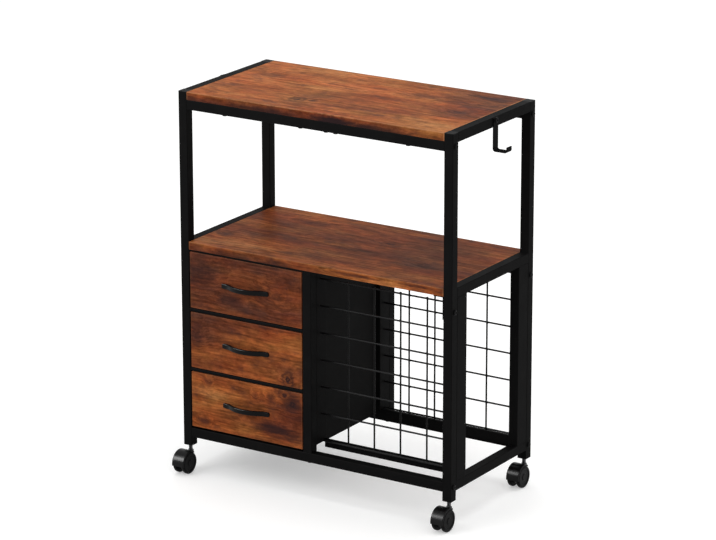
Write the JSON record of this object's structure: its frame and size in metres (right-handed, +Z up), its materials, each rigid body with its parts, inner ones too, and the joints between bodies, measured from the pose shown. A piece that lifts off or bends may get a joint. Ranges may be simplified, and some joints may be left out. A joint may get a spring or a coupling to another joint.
{
  "type": "rolling craft cart",
  "caption": "Rolling craft cart: black tube frame, wooden top and shelf, fabric drawers with wooden fronts, wire rack for vinyl rolls, side hooks and twin-wheel casters.",
  "frame": {"origin": "on the floor under the middle of the cart's bounding box", "axes": "+X to the cart's right seen from the front, +Y to the back, +Z up; the front faces -Y"},
  "size_m": [0.772, 0.3856, 0.879],
  "materials": {
    "frame_paint": "matte black powder coat",
    "wire_paint": "satin black coated wire",
    "board_wood": "rustic brown wood grain foil, satin",
    "front_wood": "rustic brown wood grain foil, satin",
    "panel_board": "black hardboard",
    "bin_fabric": "black non-woven fabric",
    "base_board": "black covered fibreboard",
    "handle_metal": "semi-gloss black",
    "fastener_steel": "black oxide steel",
    "plug_plastic": "black plastic plug",
    "caster_plastic": "glossy black nylon",
    "wheel_plastic": "glossy black nylon tread",
    "axle_steel": "zinc plated steel"
  },
  "bodies": {
    "cart": {"left_side_frame": "frame_paint", "right_side_frame": "frame_paint", "top_front_rail": "frame_paint", "top_rear_rail": "frame_paint", "bottom_front_rail": "frame_paint", "bottom_rear_rail": "frame_paint", "divider_front_post": "frame_paint", "divider_rear_post": "frame_paint", "drawer_bars": "frame_paint", "left_drawer_runners": "frame_paint", "right_drawer_runners": "frame_paint", "left_rack_uprights": "frame_paint", "right_rack_uprights": "frame_paint", "shelf_brackets": "frame_paint", "left_side_hook": "frame_paint", "right_side_hook": "frame_paint", "rack_lower_bars": "frame_paint", "front_roll_grid": "wire_paint", "rear_roll_grid": "wire_paint", "top_board": "board_wood", "middle_shelf": "board_wood", "divider_panel": "panel_board", "frame_bolts": "fastener_steel", "board_screws": "fastener_steel", "rail_inserts": "fastener_steel", "post_caps": "plug_plastic", "caster_sockets": "plug_plastic", "caster_stems": "axle_steel"},
    "bottom_drawer": {"bottom_drawer_front": "front_wood", "bottom_drawer_bin": "bin_fabric", "bottom_drawer_base": "base_board", "bottom_drawer_handle": "handle_metal", "bottom_drawer_screws": "fastener_steel"},
    "middle_drawer": {"middle_drawer_front": "front_wood", "middle_drawer_bin": "bin_fabric", "middle_drawer_base": "base_board", "middle_drawer_handle": "handle_metal", "middle_drawer_screws": "fastener_steel"},
    "top_drawer": {"top_drawer_front": "front_wood", "top_drawer_bin": "bin_fabric", "top_drawer_base": "base_board", "top_drawer_handle": "handle_metal", "top_drawer_screws": "fastener_steel"},
    "front_left_caster": {"front_left_caster_hood": "caster_plastic", "front_left_caster_axle": "axle_steel"},
    "front_left_left_wheel": {"front_left_caster_left_wheel": "wheel_plastic"},
    "front_left_right_wheel": {"front_left_caster_right_wheel": "wheel_plastic"},
    "front_right_caster": {"front_right_caster_hood": "caster_plastic", "front_right_caster_axle": "axle_steel"},
    "front_right_left_wheel": {"front_right_caster_left_wheel": "wheel_plastic"},
    "front_right_right_wheel": {"front_right_caster_right_wheel": "wheel_plastic"},
    "rear_left_caster": {"rear_left_caster_hood": "caster_plastic", "rear_left_caster_axle": "axle_steel"},
    "rear_left_left_wheel": {"rear_left_caster_left_wheel": "wheel_plastic"},
    "rear_left_right_wheel": {"rear_left_caster_right_wheel": "wheel_plastic"},
    "rear_right_caster": {"rear_right_caster_hood": "caster_plastic", "rear_right_caster_axle": "axle_steel"},
    "rear_right_left_wheel": {"rear_right_caster_left_wheel": "wheel_plastic"},
    "rear_right_right_wheel": {"rear_right_caster_right_wheel": "wheel_plastic"}
  },
  "joints": [
    {"name": "bottom_drawer_slide", "type": "slide", "parent": "cart", "child": "bottom_drawer", "axis": [0, -1, 0], "range_m": [0, 0.24]},
    {"name": "middle_drawer_slide", "type": "slide", "parent": "cart", "child": "middle_drawer", "axis": [0, -1, 0], "range_m": [0, 0.24]},
    {"name": "top_drawer_slide", "type": "slide", "parent": "cart", "child": "top_drawer", "axis": [0, -1, 0], "range_m": [0, 0.24]},
    {"name": "front_left_caster_swivel", "type": "hinge", "parent": "cart", "child": "front_left_caster", "pos_m": [-0.339, -0.14015, 0.05], "axis": [0, 0, 1], "continuous": true},
    {"name": "front_left_left_wheel_spin", "type": "hinge", "parent": "front_left_caster", "child": "front_left_left_wheel", "pos_m": [-0.3505, -0.16415, 0.025], "axis": [1, 0, 0], "continuous": true},
    {"name": "front_left_right_wheel_spin", "type": "hinge", "parent": "front_left_caster", "child": "front_left_right_wheel", "pos_m": [-0.3275, -0.16415, 0.025], "axis": [1, 0, 0], "continuous": true},
    {"name": "front_right_caster_swivel", "type": "hinge", "parent": "cart", "child": "front_right_caster", "pos_m": [0.339, -0.14015, 0.05], "axis": [0, 0, 1], "continuous": true},
    {"name": "front_right_left_wheel_spin", "type": "hinge", "parent": "front_right_caster", "child": "front_right_left_wheel", "pos_m": [0.3275, -0.16415, 0.025], "axis": [1, 0, 0], "continuous": true},
    {"name": "front_right_right_wheel_spin", "type": "hinge", "parent": "front_right_caster", "child": "front_right_right_wheel", "pos_m": [0.3505, -0.16415, 0.025], "axis": [1, 0, 0], "continuous": true},
    {"name": "rear_left_caster_swivel", "type": "hinge", "parent": "cart", "child": "rear_left_caster", "pos_m": [-0.339, 0.18185, 0.05], "axis": [0, 0, 1], "continuous": true},
    {"name": "rear_left_left_wheel_spin", "type": "hinge", "parent": "rear_left_caster", "child": "rear_left_left_wheel", "pos_m": [-0.3505, 0.15785, 0.025], "axis": [1, 0, 0], "continuous": true},
    {"name": "rear_left_right_wheel_spin", "type": "hinge", "parent": "rear_left_caster", "child": "rear_left_right_wheel", "pos_m": [-0.3275, 0.15785, 0.025], "axis": [1, 0, 0], "continuous": true},
    {"name": "rear_right_caster_swivel", "type": "hinge", "parent": "cart", "child": "rear_right_caster", "pos_m": [0.339, 0.18185, 0.05], "axis": [0, 0, 1], "continuous": true},
    {"name": "rear_right_left_wheel_spin", "type": "hinge", "parent": "rear_right_caster", "child": "rear_right_left_wheel", "pos_m": [0.3275, 0.15785, 0.025], "axis": [1, 0, 0], "continuous": true},
    {"name": "rear_right_right_wheel_spin", "type": "hinge", "parent": "rear_right_caster", "child": "rear_right_right_wheel", "pos_m": [0.3505, 0.15785, 0.025], "axis": [1, 0, 0], "continuous": true}
  ]
}
